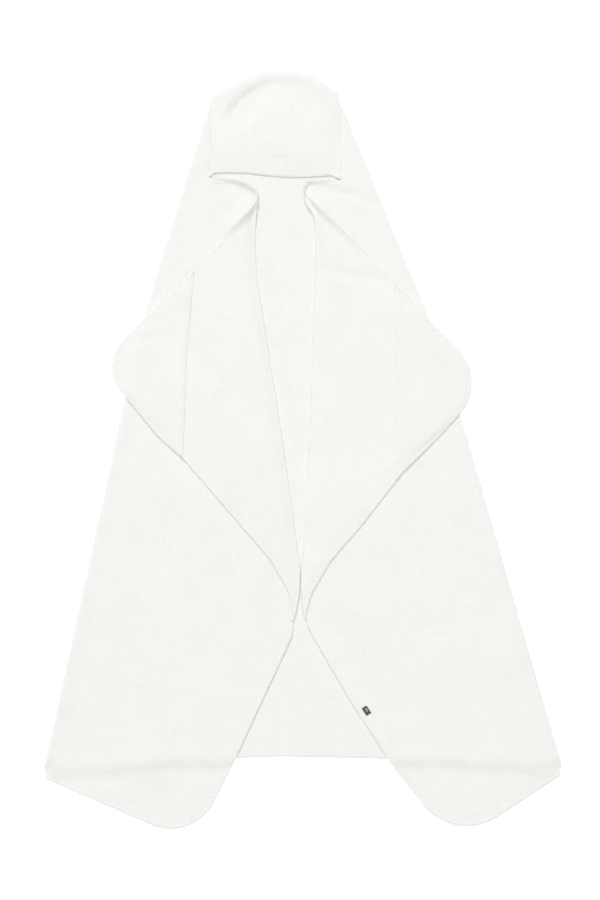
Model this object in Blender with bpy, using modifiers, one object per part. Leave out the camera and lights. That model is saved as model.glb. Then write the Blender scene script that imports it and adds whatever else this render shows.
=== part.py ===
"""Hooded bath towel of terry cloth, laid out flat on its back with both fronts folded in.

The towel is one cut of cloth with a bell-shaped top. Its sides are folded in over two outer
folds to make the fronts, and the fronts' upper corners are folded out again over two inner
folds to make the lapels. The hood front, the two hand pockets and the label are sewn on.

Row frame: X across the towel, Y from the bottom edge to the hood, Z up from the surface it
lies on. All sizes in the tables are millimetres. Every outline is a chain of straight runs
whose corners are rounded by an arc of the radius in the third column.
"""

import math

import bmesh
import bpy
import numpy as np
from mathutils import Vector
from mathutils.geometry import delaunay_2d_cdt

MM = 0.001

# Driving sizes
CLOTH = 2.4
LAYER_GAP = 0.6
SEAM_GAP = 0.3
SEAM_END_GAP = 1.5
POCKET_GAP = 0.5
POCKET_CLOTH = 2.0
LABEL_CLOTH = 1.0
LABEL_SIZE = (12.0, 8.0)
LABEL_CENTRE = (96.2, -391.5)
LABEL_TURN = math.radians(-57.0)

# The cloth mesh
GRID = 44.0
EDGE_STEP = 34.0
ARC_STEP = math.radians(18.0)
ROLL_STEPS = 3
KEEP_OFF = 0.45 * GRID

# Where an upper layer passes the edge of the one below, it comes down over this run
STEP_CLEAR = 4.0
STEP_RUN = 34.0
STEP_LINES = (STEP_CLEAR, STEP_CLEAR + 0.5 * STEP_RUN, STEP_CLEAR + STEP_RUN)

PITCH = CLOTH + LAYER_GAP
ROLL = 0.5 * PITCH
FOLD_BULGE = ROLL + 0.5 * CLOTH

# x, y, corner radius
OUTER_FOLD = {
    "left": [(-136.5, 529.5, 0), (-168.5, 430, 400), (-243.5, 187, 400), (-388, -478, 0)],
    "right": [(54, 534, 0), (206.5, 161, 500), (389, -468, 30), (389, -477, 0)],
}
INNER_FOLD = {
    "left": [
        (-67, 371, 0),
        (-70, 320, 200),
        (-68.5, 262, 150),
        (-29, 12, 2000),
        (-2.8, -180, 100),
        (-4.5, -218, 40),
        (-12.5, -257, 0),
    ],
    "right": [
        (2.5, 384, 0),
        (4, 370, 15),
        (17, 350, 20),
        (19.8, 300, 100),
        (13, 82, 1500),
        (3.2, -130, 400),
        (-2, -190, 80),
        (-0.8, -228, 60),
        (4, -255, 0),
    ],
}
NECK_EDGE = {
    "left": [(-139.5, 408, 0), (-90, 403, 70), (-67, 388, 12), (-67, 371, 0)],
    "right": [(57.5, 404.5, 0), (4, 402, 9), (2.5, 384, 0)],
}
LAPEL_EDGE = {
    "left": [
        (-67, 371, 0),
        (-105, 332, 60),
        (-308, 130.5, 64),
        (-215.5, 16.8, 150),
        (-177, -16, 100),
        (-49, -164, 60),
        (-16.5, -220, 100),
        (-12.5, -257, 0),
    ],
    "right": [
        (2.5, 384, 0),
        (50, 339.5, 200),
        (281, 104.8, 73),
        (213.2, 26.3, 200),
        (145, -42, 200),
        (88, -115, 250),
        (43, -166.5, 120),
        (13.5, -217, 60),
        (4, -255, 0),
    ],
}
FRONT_EDGE = {
    "left": [
        (-12.5, -257, 0),
        (-15, -280, 25),
        (-72, -402.5, 400),
        (-111.5, -488, 300),
        (-163, -590.5, 74),
        (-384, -494, 9),
        (-388, -478, 0),
    ],
    "right": [
        (4, -255, 0),
        (14, -277, 30),
        (72, -377, 250),
        (139.5, -480, 80),
        (228.7, -593.3, 84),
        (387, -488.7, 7),
        (389, -477, 0),
    ],
}
HOOD_ARCH = [(-136.5, 529.5, 0), (-72, 569, 90), (8, 569, 70), (54, 534, 0)]
BACK_BOTTOM = [(-388, -478, 0), (-30, -456, 2500), (389, -477, 0)]
HOOD_SIDE = {
    "left": [(-136.5, 529.5, 0), (-137, 470, 600), (-139.5, 408, 0)],
    "right": [(54, 534, 0), (58.5, 470, 600), (57.5, 404.5, 0)],
}
HOOD_FRONT_EDGE = [
    (-139.5, 408, 0),
    (-132, 415, 9),
    (-86, 415, 90),
    (-12, 406.2, 400),
    (44, 411.5, 12),
    (57.5, 404.5, 0),
]
POCKET_MOUTH = {
    "left": [(-161, 276, 0), (-173, 135, 900), (-178.5, -14, 0)],
    "right": [(138.5, 250.5, 0), (140, 100, 0), (139.5, -42, 0)],
}

COTTON = (0.87, 0.86, 0.83, 1.0)
COTTON_ROUGHNESS = 0.95
LABEL_COLOUR = (0.05, 0.05, 0.06, 1.0)
LABEL_ROUGHNESS = 0.7


def clear_scene():
    for obj in list(bpy.data.objects):
        bpy.data.objects.remove(obj, do_unlink=True)


def material(name, colour, roughness):
    made = bpy.data.materials.new(name)
    made.use_nodes = True
    shader = made.node_tree.nodes["Principled BSDF"]
    shader.inputs["Base Color"].default_value = colour
    shader.inputs["Roughness"].default_value = roughness
    shader.inputs["Metallic"].default_value = 0.0
    return made


def rounded(corners):
    """The chain through a table's corners, each one rounded by an arc of its radius."""
    points = [Vector(corners[0][:2])]
    for before, here, after in zip(corners, corners[1:], corners[2:]):
        corner = Vector(here[:2])
        back = (Vector(before[:2]) - corner).normalized()
        ahead = (Vector(after[:2]) - corner).normalized()
        turn = math.pi - back.angle(ahead)
        reach = here[2] * math.tan(turn / 2)
        if reach < 1e-6:
            points.append(corner)
            continue
        middle = corner + (back + ahead).normalized() * (here[2] / math.cos(turn / 2))
        start = corner + back * reach - middle
        side = 1 if back.x * ahead.y - back.y * ahead.x < 0 else -1
        steps = max(2, math.ceil(turn / ARC_STEP))
        for step in range(steps + 1):
            angle = side * turn * step / steps
            cos, sin = math.cos(angle), math.sin(angle)
            points.append(middle + Vector((start.x * cos - start.y * sin, start.x * sin + start.y * cos)))
    points.append(Vector(corners[-1][:2]))
    return points


def divided(points, longest):
    """The same chain with no run longer than this."""
    chain = [points[0]]
    for start, end in zip(points, points[1:]):
        parts = max(1, math.ceil((end - start).length / longest))
        chain += [start.lerp(end, (part + 1) / parts) for part in range(parts)]
    return chain


def side_normals(points):
    """A unit normal at each point of a chain, to the left of its direction."""
    normals = []
    for index in range(len(points)):
        along = points[min(index + 1, len(points) - 1)] - points[max(index - 1, 0)]
        normals.append(Vector((-along.y, along.x)).normalized())
    return normals


def moved_aside(points, distance):
    return [point + normal * distance for point, normal in zip(points, side_normals(points))]


def chain(corners, aside=0.0):
    """An edge as a chain of points, moved to its left by this much."""
    return moved_aside(divided(rounded(corners), EDGE_STEP), aside)


def joined(*chains):
    """One closed outline from chains laid end to end."""
    outline = []
    for piece in chains:
        for point in piece:
            if not outline or (point - outline[-1]).length > 0.5:
                outline.append(point)
    if (outline[0] - outline[-1]).length <= 0.5:
        outline.pop()
    return outline


def as_array(points):
    return np.array([(point.x, point.y) for point in points])


def nearest(points, run):
    """How far each point is from a chain, and the signed distance to its left side."""
    start = run[:-1]
    along = run[1:] - start
    length = np.einsum("ij,ij->i", along, along)
    offset = points[:, None, :] - start[None]
    share = np.clip(np.einsum("nij,ij->ni", offset, along) / length, 0, 1)
    gap = offset - share[..., None] * along[None]
    far = np.hypot(gap[..., 0], gap[..., 1])
    best = far.argmin(1)
    rows = np.arange(len(points))
    cross = along[best, 0] * offset[rows, best, 1] - along[best, 1] * offset[rows, best, 0]
    return far[rows, best], np.sign(cross) * far[rows, best]


def inside(points, outline):
    """Which points lie inside a closed outline, by counting the edges to their right."""
    x, y = points[:, 0][:, None], points[:, 1][:, None]
    x0, y0 = outline[:, 0], outline[:, 1]
    x1, y1 = np.roll(x0, -1), np.roll(y0, -1)
    spans = (y0 > y) != (y1 > y)
    rise = np.where(y1 == y0, 1.0, y1 - y0)
    crossing = x0 + (y - y0) * (x1 - x0) / rise
    return (spans & (x < crossing)).sum(1) % 2 == 1


def lattice(outline, runs, spacing):
    """Points of a triangular lattice inside the outline, clear of its edge and of the runs."""
    low, high = outline.min(0), outline.max(0)
    rise = spacing * math.sqrt(0.75)
    rows = []
    for row in range(int((high[1] - low[1]) / rise) + 1):
        xs = np.arange(low[0] + (row % 2) * spacing / 2, high[0], spacing)
        rows.append(np.stack([xs, np.full(len(xs), low[1] + (row + 0.5) * rise)], 1))
    points = np.concatenate(rows)
    points = points[inside(points, outline)]
    for run in [np.vstack([outline, outline[:1]]), *runs]:
        points = points[nearest(points, run)[0] > KEEP_OFF]
    return points


def filled(outline, runs=()):
    """Triangles over a closed outline, with edges along the runs inside it."""
    rim = as_array(outline)
    closed = np.vstack([rim, rim[:1]])
    points = [rim]
    edges = []
    kept_runs = []
    count = len(rim)
    for run in runs:
        line = as_array(run)
        clear = inside(line, rim) & (nearest(line, closed)[0] > 5.0)
        line = line[clear]
        if len(line) < 2:
            continue
        kept_runs.append(line)
        points.append(line)
        edges += [(count + step, count + step + 1) for step in range(len(line) - 1)]
        count += len(line)
    points.append(lattice(rim, kept_runs, GRID))
    flat = [Vector(point) for point in np.concatenate(points)]
    made = delaunay_2d_cdt(flat, edges, [list(range(len(rim)))], 1, 1e-4)
    return as_array(made[0]), made[2]


def eased(value):
    """From 0 to 1, level at both ends."""
    value = np.clip(value, 0, 1)
    return value * value * (3 - 2 * value)


def beyond(points, run):
    """1 over the layer below, 0 where this layer has come down past its edge, on the run's left."""
    return 1 - eased((nearest(points, run)[1] - STEP_CLEAR) / STEP_RUN)


class Layout:
    """The towel's chains and the height of each layer's middle, in millimetres."""

    def __init__(self):
        self.outer = {
            "left": chain(OUTER_FOLD["left"], FOLD_BULGE),
            "right": chain(OUTER_FOLD["right"], -FOLD_BULGE),
        }
        self.inner = {
            "left": chain(INNER_FOLD["left"], -FOLD_BULGE),
            "right": chain(INNER_FOLD["right"], FOLD_BULGE),
        }
        self.hood_seam = {side: chain(HOOD_SIDE[side]) for side in HOOD_SIDE}
        for side, seam in self.hood_seam.items():
            seam[0] = self.outer[side][0]
        self.bottom = chain(BACK_BOTTOM)
        self.bottom[0] = self.outer["left"][-1]
        self.bottom[-1] = self.outer["right"][-1]
        self.bottom_run = as_array([*reversed(self.bottom)])

    def front(self, points):
        """The fronts lie on the back, and come down past its bottom edge."""
        return PITCH * beyond(points, self.bottom_run)

    def lapel(self, points, side):
        """The lapels lie on the fronts, and come down past the outer fold."""
        run = as_array(self.outer[side])
        if side == "left":
            run = run[::-1]
        return 2 * PITCH * beyond(points, run)


class Cloth:
    """A sheet of cloth gathered stretch by stretch, then given its thickness."""

    def __init__(self):
        self.mesh = bmesh.new()
        self.found = {}

    def vertex(self, x, y, z):
        key = (round(x, 2), round(y, 2), round(z, 2))
        if key not in self.found:
            self.found[key] = self.mesh.verts.new((x * MM, y * MM, z * MM))
        return self.found[key]

    def face(self, corners):
        different = list(dict.fromkeys(corners))
        if len(different) > 2:
            self.mesh.faces.new(different)

    def stretch(self, outline, height, runs=(), facing_up=True):
        """Triangles over the outline at this height, facing up or down."""
        points, faces = filled(outline, runs)
        heights = height(points)
        verts = [self.vertex(x, y, z) for (x, y), z in zip(points, heights)]
        for face in faces:
            corners = [verts[index] for index in face]
            self.face(corners if facing_up else corners[::-1])

    def roll(self, points, outward, low, high):
        """The round fold between two layers that end on the same chain."""
        rings = []
        for point, normal, bottom, top in zip(points, outward, low, high):
            middle, radius = (bottom + top) / 2, (top - bottom) / 2
            ring = []
            for step in range(ROLL_STEPS + 1):
                angle = math.pi * step / ROLL_STEPS
                x = point.x + normal.x * radius * math.sin(angle)
                y = point.y + normal.y * radius * math.sin(angle)
                ring.append(self.vertex(x, y, middle - radius * math.cos(angle)))
            rings.append(ring)
        for ring, following in zip(rings, rings[1:]):
            for step in range(ROLL_STEPS):
                self.face([ring[step], following[step], following[step + 1], ring[step + 1]])

    def solid(self, name, thickness, finish, collection, lift=0.0):
        """The sheet as an object that Solidify gives its thickness, lying this high."""
        bmesh.ops.recalc_face_normals(self.mesh, faces=self.mesh.faces)
        data = bpy.data.meshes.new(name)
        self.mesh.to_mesh(data)
        self.mesh.free()
        data.materials.append(finish)
        obj = bpy.data.objects.new(name, data)
        obj.location.z = (lift + thickness / 2) * MM
        collection.objects.link(obj)
        shell = obj.modifiers.new("Cloth", "SOLIDIFY")
        shell.thickness = thickness * MM
        shell.offset = 0.0
        shell.use_even_offset = True
        return obj


def front_outline(layout, side):
    """Down the hood side, along the neck, the inner fold and the free edge, and up the outer fold."""
    free = chain(FRONT_EDGE[side])
    free[0] = layout.inner[side][-1]
    free[-1] = layout.outer[side][-1]
    neck = chain(NECK_EDGE[side])
    neck[-1] = layout.inner[side][0]
    return joined(layout.hood_seam[side], neck, layout.inner[side], free, layout.outer[side][::-1])


def lapel_outline(layout, side):
    edge = chain(LAPEL_EDGE[side])
    edge[0] = layout.inner[side][0]
    edge[-1] = layout.inner[side][-1]
    return joined(edge, layout.inner[side][::-1])


def step_runs(run, toward):
    """The chains where a layer starts, halves and ends its way down."""
    return [moved_aside(run, toward * distance) for distance in STEP_LINES]


def make_body(layout, finish, collection):
    """The one big cut: back, two fronts and two lapels, joined by their folds."""
    cloth = Cloth()
    arch = chain(HOOD_ARCH)
    arch[0] = layout.outer["left"][0]
    arch[-1] = layout.outer["right"][0]
    back = joined(layout.outer["left"], layout.bottom, layout.outer["right"][::-1], arch[::-1])
    cloth.stretch(back, lambda points: np.zeros(len(points)))
    for side, sign in (("left", 1), ("right", -1)):
        outer, inner = layout.outer[side], layout.inner[side]
        cloth.stretch(front_outline(layout, side), layout.front, step_runs(layout.bottom, -1), False)
        lapel_runs = step_runs(outer, -sign)
        cloth.stretch(lapel_outline(layout, side), lambda points: layout.lapel(points, side), lapel_runs)
        out = [normal * -sign for normal in side_normals(outer)]
        cloth.roll(outer, out, [0.0] * len(outer), layout.front(as_array(outer)))
        out = [normal * sign for normal in side_normals(inner)]
        cloth.roll(inner, out, layout.front(as_array(inner)), layout.lapel(as_array(inner), side))
    return cloth.solid("body", CLOTH, finish, collection)


def make_hood(layout, finish, collection):
    """The dome-shaped front of the hood, over the bell of the back."""
    left = moved_aside(layout.hood_seam["left"], SEAM_GAP)
    right = moved_aside(layout.hood_seam["right"], -SEAM_GAP)
    left[0].x += SEAM_END_GAP
    right[0].x -= SEAM_END_GAP
    left[-1].y += SEAM_END_GAP
    right[-1].y += SEAM_END_GAP
    arch = chain(HOOD_ARCH)[1:-1]
    edge = chain(HOOD_FRONT_EDGE)
    edge[0] = left[-1]
    edge[-1] = right[-1]
    outline = joined(left, edge, right[::-1], arch[::-1])
    cloth = Cloth()
    cloth.stretch(outline, lambda points: np.zeros(len(points)))
    return cloth.solid("hood_front", CLOTH, finish, collection, PITCH)


def pocket_outline(side):
    """The lapel's edge from the mouth of the pocket round the corner, closed by the mouth."""
    edge = chain(LAPEL_EDGE[side])
    mouth = chain(POCKET_MOUTH[side])
    run = as_array(mouth)
    aside = nearest(as_array(edge), run)[1]
    outside = aside < -12.0 if side == "left" else aside > 12.0
    corner = [point for point, kept in zip(edge, outside) if kept]
    return joined(corner, mouth[::-1])


def make_pocket(layout, side, finish, collection):
    """A hand pocket: cloth over a lapel's corner, made from the lapel's own points, moved up."""
    outer = layout.outer[side]
    runs = step_runs(outer, -1 if side == "left" else 1)
    cloth = Cloth()
    cloth.stretch(pocket_outline(side), lambda points: layout.lapel(points, side), runs)
    return cloth.solid(f"hand_pocket_{side}", POCKET_CLOTH, finish, collection, CLOTH + POCKET_GAP)


def make_label(finish, collection):
    """A small woven tab lying on the right front, its long side along the free edge."""
    bpy.ops.mesh.primitive_cube_add(size=1.0)
    label = bpy.context.object
    label.name = "side_label"
    label.scale = (LABEL_SIZE[0] * MM, LABEL_SIZE[1] * MM, LABEL_CLOTH * MM)
    bpy.ops.object.transform_apply(location=False, rotation=False, scale=True)
    height = PITCH + CLOTH + SEAM_GAP + LABEL_CLOTH / 2
    label.location = (LABEL_CENTRE[0] * MM, LABEL_CENTRE[1] * MM, height * MM)
    label.rotation_euler.z = LABEL_TURN
    label.data.materials.append(finish)
    for holder in list(label.users_collection):
        holder.objects.unlink(label)
    collection.objects.link(label)
    return label


def main():
    clear_scene()
    collection = bpy.data.collections.new("hooded_bath_towel")
    bpy.context.scene.collection.children.link(collection)
    cotton = material("terry", COTTON, COTTON_ROUGHNESS)
    woven = material("label", LABEL_COLOUR, LABEL_ROUGHNESS)
    layout = Layout()
    make_body(layout, cotton, collection)
    make_hood(layout, cotton, collection)
    for side in ("left", "right"):
        make_pocket(layout, side, cotton, collection)
    make_label(woven, collection)


main()
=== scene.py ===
"""The looks of a hooded bath towel of terry cloth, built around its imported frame.

The towel lies on its back. Its sides are folded in over two outer folds to make the fronts,
and the fronts' upper corners are folded out again over two inner folds to make the lapels, so
the back, the fronts and the lapels are one sheet with rolled folds. The hood front, the two
hand pockets and the label are sewn on, and every free edge has a turned and stitched hem.

X runs across the towel, Y from the bottom edge to the hood, Z up from the surface it lies on.
Sizes are in millimetres up to the part called Setting, where they are in metres.
"""

import math
from dataclasses import dataclass
from functools import partial

import bmesh
import bpy
import numpy as np
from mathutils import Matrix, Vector, noise
from mathutils.geometry import delaunay_2d_cdt
from mathutils.kdtree import KDTree


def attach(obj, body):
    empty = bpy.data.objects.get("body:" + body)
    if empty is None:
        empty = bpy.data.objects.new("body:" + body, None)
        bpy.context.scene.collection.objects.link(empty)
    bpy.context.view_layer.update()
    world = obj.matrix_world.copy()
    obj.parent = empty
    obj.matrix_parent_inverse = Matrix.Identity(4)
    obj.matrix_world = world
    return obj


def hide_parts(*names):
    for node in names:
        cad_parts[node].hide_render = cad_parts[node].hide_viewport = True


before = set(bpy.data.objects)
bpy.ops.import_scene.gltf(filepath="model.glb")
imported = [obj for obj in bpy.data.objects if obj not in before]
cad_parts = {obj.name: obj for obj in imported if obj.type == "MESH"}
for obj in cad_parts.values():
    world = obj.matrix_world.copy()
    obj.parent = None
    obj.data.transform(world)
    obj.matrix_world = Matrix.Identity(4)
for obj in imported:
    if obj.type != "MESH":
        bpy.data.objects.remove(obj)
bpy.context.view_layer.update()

MM = 0.001

# All side chains run down the towel, so inward is left of the left ones and right of the others
SIGN = {"left": 1, "right": -1}

# The cloth, the air between layers that lie on each other, and the pockets' thinner cloth
CLOTH = 2.4
AIR = 1.2
POCKET_CLOTH = 2.0

# How far inside its line a fold's roll starts: an outer fold, an inner one, an outer one's ends
FOLD_INSET = 4.0
INNER_INSET = 1.6
END_INSET = 1.6
# The extra height along an outer fold, and where it fades: inward, and up the towel
FOLD_PUFF = 1.6
FOLD_PUFF_ACROSS = (3.0, 20.0)
FOLD_PUFF_UP = (20.0, 260.0)
# On an inner fold the layers lie tight: how much thinner, the gap left, and over what width
PINCH = 1.0
PINCH_GAP = 0.15
PINCH_RUN = 14.0
# Down to the tip, where the two folds meet, they get looser to this share
TIP_RUN = (-235.0, -150.0)
TIP_SHARE = 0.5
# At the corners where an outer fold ends: how much thinner the cloth, and a front's share of height
CORNER_PINCH = 1.1
CORNER_LEAST = 0.36
CORNER_RUN = 18.0
# The hood front's side seams: how far outward, how much further in at the arch, and their dip
SEAM_GAP = -0.25
SEAM_END_GAP = 0.6
SEAM_DIP = 0.4
SEAM_RUN = 6.0
# The narrowest that cloth gets between its edge and a fold
LEAST_WIDTH = 2.2
# A front over the back's hem, and its uneven step down past the back's bottom edge
HEM_RIDGE = 0.6
HEM_RIDGE_RUN = (-30.0, -8.0)
STEP_START = {"left": -3.0, "right": -6.0}
STEP_RUN = 20.0
STEP_SWAY = (1, 0.2)
# Near the outer fold the step starts earlier and ends later by these
STEP_FADE = 60.0
STEP_EARLY = 8
STEP_LATE = 14
# A lapel's way down past the outer fold
OVERHANG_RUN = (-10.0, 32.0)
# A lapel's free edge lies on the front, but not where it stands up or past the outer fold
LAID_GAP = 0.2
LAID_RUN = 18.0
LAID_END = (-10.0, -2.0)
LAID_LIP = 2.0
# The lift over which a hem turns into a raised edge, and how far inside its mouth a pocket covers
LIFT_RUN = (0.3, 1.6)
COVERED_RUN = (2.0, 10.0)
# Under a lapel's raised edge the front rises over this width, by this share
LIP_APRON = 20.0
LIP_SHARE = 0.5
# The back: its mean height over the floor, and how flat its bottom hem is pressed
BACK_REST = 0.35
BOTTOM_PRESSED = 0.3
# The hood front: its least height, its rise inside the arch, its sides, and its free edge
HOOD_REST = CLOTH + 0.2
HOOD_RISE = AIR + 3.0
HOOD_RIM_RUN = (-5.0, 9.0)
HOOD_SIDE_RUN = 26.0
HOOD_HEM_RUN = 40.0
HOOD_HEM_GAP = 1.5
HOOD_HEM_TURN = 0.4
HOOD_TURN_RUN = 7.0
HOOD_HEM_THIN = 0.4
# A pocket: the gap under it, how far inside the lapel's edge, and how far past its mouth that is sewn
POCKET_GAP = 0.15
POCKET_INSET = 0.8
MOUTH_MARGIN = 2.0

# The cloth mesh: the lattice's finest spacing, and that of plain and hidden cloth as multiples of it
GRID = 3.2
PLAIN = 2
HIDDEN = 6
# Cloth is hidden this far inside what covers it
HIDDEN_MARGIN = 14.0
# The longest run of an edge, the shortest one of an outline, an arc's steps and a roll's
EDGE_STEP = 4.0
LEAST_STEP = 0.4
ARC_STEP = math.radians(5.0)
ROLL_STEPS = 8
# A row beside an edge keeps its points that lie at least this share of its distance from it
ROW_SHARE = 0.96
STITCH_SHARE = 0.9
# The lattice's distance to all rows, as a share of its plain spacing
LATTICE_ROOM = 0.55
# Rows of points along folds, seams and hems, and the room they keep from other points
FOLD_ROWS, FOLD_ROOM = (3.0, 6.5), 1.8
SEAM_ROWS, SEAM_ROOM = (0.8, 2.0, 3.8), 0.7
HEM_ROWS, HEM_ROOM = (0.8, 2.4, 3.8, 5.2, 6.4, 7.6, 10.0), 0.6

# A hem across its width: distance from the edge, thickness, middle's height over the underside
HEM_PROFILE = np.array([
    (0.0, 1.0, 0.95), (0.8, 2.1, 1.25), (2.4, 2.9, 1.50), (5.2, 3.0, 1.52), (6.4, 2.3, 1.20),
    (7.6, 2.5, 1.28), (10.0, CLOTH, CLOTH / 2),
])
# A seam has a plain rounded edge
PLAIN_PROFILE = np.array([
    (0.0, 1.7, 1.2), (0.8, 2.15, 1.2), (2.0, CLOTH, CLOTH / 2),
])
# A pocket's mouth is a thin hem that lies close on the lapel
MOUTH_PROFILE = np.array([
    (0.0, 0.5, 0.3), (3.0, 1.6, 0.85), (5.6, 2.1, 1.1), (6.4, 1.9, 1.00),
    (7.6, POCKET_CLOTH + 0.1, 1.1), (10.0, POCKET_CLOTH, POCKET_CLOTH / 2),
])
# An edge that stands up or is pressed flat, and a pocket's own sewn-in edge
THIN_PROFILE = np.array([
    (0.0, 0.6, 0.4), (2.0, 1.0, 0.55), (6.0, 1.8, 0.92), (10.0, CLOTH, CLOTH / 2),
])
POCKET_PROFILE = np.array([
    (0.0, 0.8, 0.6), (0.8, 1.6, 0.95), (2.4, 2.3, 1.2), (5.2, 2.4, 1.2), (6.4, 1.8, 0.9),
    (7.6, 2.0, 1.0), (10.0, POCKET_CLOTH, POCKET_CLOTH / 2),
])

# Stitches: how far in from the edge and from a mouth that covers it, where a row starts, their
# pitch and length, and the thread's half thickness
STITCH_ROW = 6.4
MOUTH_GAP = 0.5
ROW_START = 0.5
STITCH_PITCH = 3.6
STITCH_LENGTH = 2.7
THREAD = 0.32

# The label on the right front: its middle, its turn along the free edge, its size, its tape's
# thickness, its fold's radius, how far its upper half curls up and how much shorter that half is
LABEL_CENTRE = (96.1, -390.5)
LABEL_TURN = math.radians(-57.0)
LABEL_SIZE = (13.1, 8.3)
LABEL_TAPE = 0.45
LABEL_FOLD = 0.3
LABEL_CURL = 0.35
LABEL_SHORT = 0.3
# Its plain lighter bar: middle along and across the tape, and half sizes in the same order
LABEL_BAR = (-0.8, 1.0, 3.0, 1.5)

# The low swell of each layer: the noise's seed, and its wide and its small waves' heights and sizes
WAVES = {
    "back": (3.1, 0.8, 0.3),
    "front_left": (11.5, 0.45, 0.12),
    "front_right": (12.5, 0.45, 0.12),
    "lapel_left": (23.7, 0.8, 0.2),
    "lapel_right": (24.7, 0.8, 0.2),
    "hood": (41.3, 0.9, 0.3),
    "step": (61.0, 5.0, 2.0),
}
WIDE_WAVE = (95, 75)
SMALL_WAVE = (26, 22)
SEED_STEP = 7

# The outlines in plan: the rows of each are x, y and the radius of the arc at that corner
OUTER_FOLD = {
    "left": [(-136.5, 529.5, 0), (-168.5, 430, 400), (-243.5, 187, 400), (-388, -478, 0)],
    "right": [(54, 534, 0), (206.5, 161, 500), (389, -468, 30), (389, -477, 0)],
}
INNER_FOLD = {
    "left": [
        (-67, 371, 0), (-70, 320, 200), (-68.5, 262, 150), (-29, 12, 2000), (-2.8, -180, 100),
        (-4.5, -218, 40), (-12.5, -257, 0),
    ],
    "right": [
        (2.5, 384, 0), (4, 370, 15), (17, 350, 20), (19.8, 300, 100), (13, 82, 1500),
        (3.2, -130, 400), (-2, -190, 80), (-0.8, -228, 60), (4, -255, 0),
    ],
}
NECK_EDGE = {
    "left": [(-139.5, 408, 0), (-90, 403, 70), (-67, 388, 12), (-67, 371, 0)],
    "right": [(57.5, 404.5, 0), (4, 402, 9), (2.5, 384, 0)],
}
LAPEL_EDGE = {
    "left": [
        (-67, 371, 0), (-105, 332, 60), (-308, 130.5, 64), (-215.5, 16.8, 150), (-177, -16, 100),
        (-49, -164, 60), (-16.5, -220, 100), (-12.5, -257, 0),
    ],
    "right": [
        (2.5, 384, 0), (50, 339.5, 200), (281, 104.8, 73), (213.2, 26.3, 200), (145, -42, 200),
        (88, -115, 250), (43, -166.5, 120), (13.5, -217, 60), (4, -255, 0),
    ],
}
FRONT_EDGE = {
    "left": [
        (-12.5, -257, 0), (-15, -280, 25), (-72, -402.5, 400), (-111.5, -488, 300),
        (-163, -590.5, 74), (-384, -494, 9), (-388, -478, 0),
    ],
    "right": [
        (4, -255, 0), (14, -277, 30), (72, -377, 250), (139.5, -480, 80), (228.7, -593.3, 84),
        (387, -488.7, 7), (389, -477, 0),
    ],
}
HOOD_ARCH = [(-136.5, 529.5, 0), (-72, 569, 90), (8, 569, 70), (54, 534, 0)]
BACK_BOTTOM = [(-388, -478, 0), (-30, -456, 2500), (389, -477, 0)]
HOOD_SIDE = {
    "left": [(-136.5, 529.5, 0), (-137, 470, 600), (-139.5, 408, 0)],
    "right": [(54, 534, 0), (58.5, 470, 600), (57.5, 404.5, 0)],
}
HOOD_FRONT_EDGE = [
    (-139.5, 408, 0), (-132, 415, 9), (-86, 415, 90), (-12, 406.2, 400), (44, 411.5, 12),
    (57.5, 404.5, 0),
]
POCKET_MOUTH = {
    "left": [(-161, 276, 0), (-173, 135, 900), (-178.5, -14, 0)],
    "right": [(138.5, 250.5, 0), (140, 100, 0), (139.5, -42, 0)],
}

# Where the neck's free edges stand up. Each lip has its reach to the left and to the right of
# its path, and the path's rows are x, y, lift.
LIPS = {
    "left": [
        ((7, 12), [
            (-141, 410, 1.8), (-125, 410, 6.0), (-111, 409, 10.4), (-91, 404.5, 13.2),
            (-76, 397, 12.6), (-66, 388, 10.2), (-64.5, 377, 8.4), (-65, 366, 6.6),
            (-68, 350, 2.8), (-71, 330, 0),
        ]),
        ((11, 7), [
            (-66, 373, 9.0), (-80, 359, 10.2), (-93, 346, 9.0), (-106, 333, 6.0),
            (-119, 320, 2.2), (-134, 305, 0),
        ]),
    ],
    "right": [
        ((11, 7), [
            (59, 407, 1.2), (38, 406, 5.4), (22, 405, 8.4), (7, 402, 10.4), (2, 393, 10.4),
            (2, 383, 9.0), (8, 366, 6.4), (18, 347, 2.6), (20, 325, 0),
        ]),
        ((7, 12), [
            (4.5, 386.5, 8.8), (18.5, 373, 10.6), (35.5, 357.5, 10.4), (54.5, 339.5, 8.2),
            (72.5, 320.5, 4.6), (92, 299, 1.8), (115, 274, 0),
        ]),
    ],
}

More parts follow.
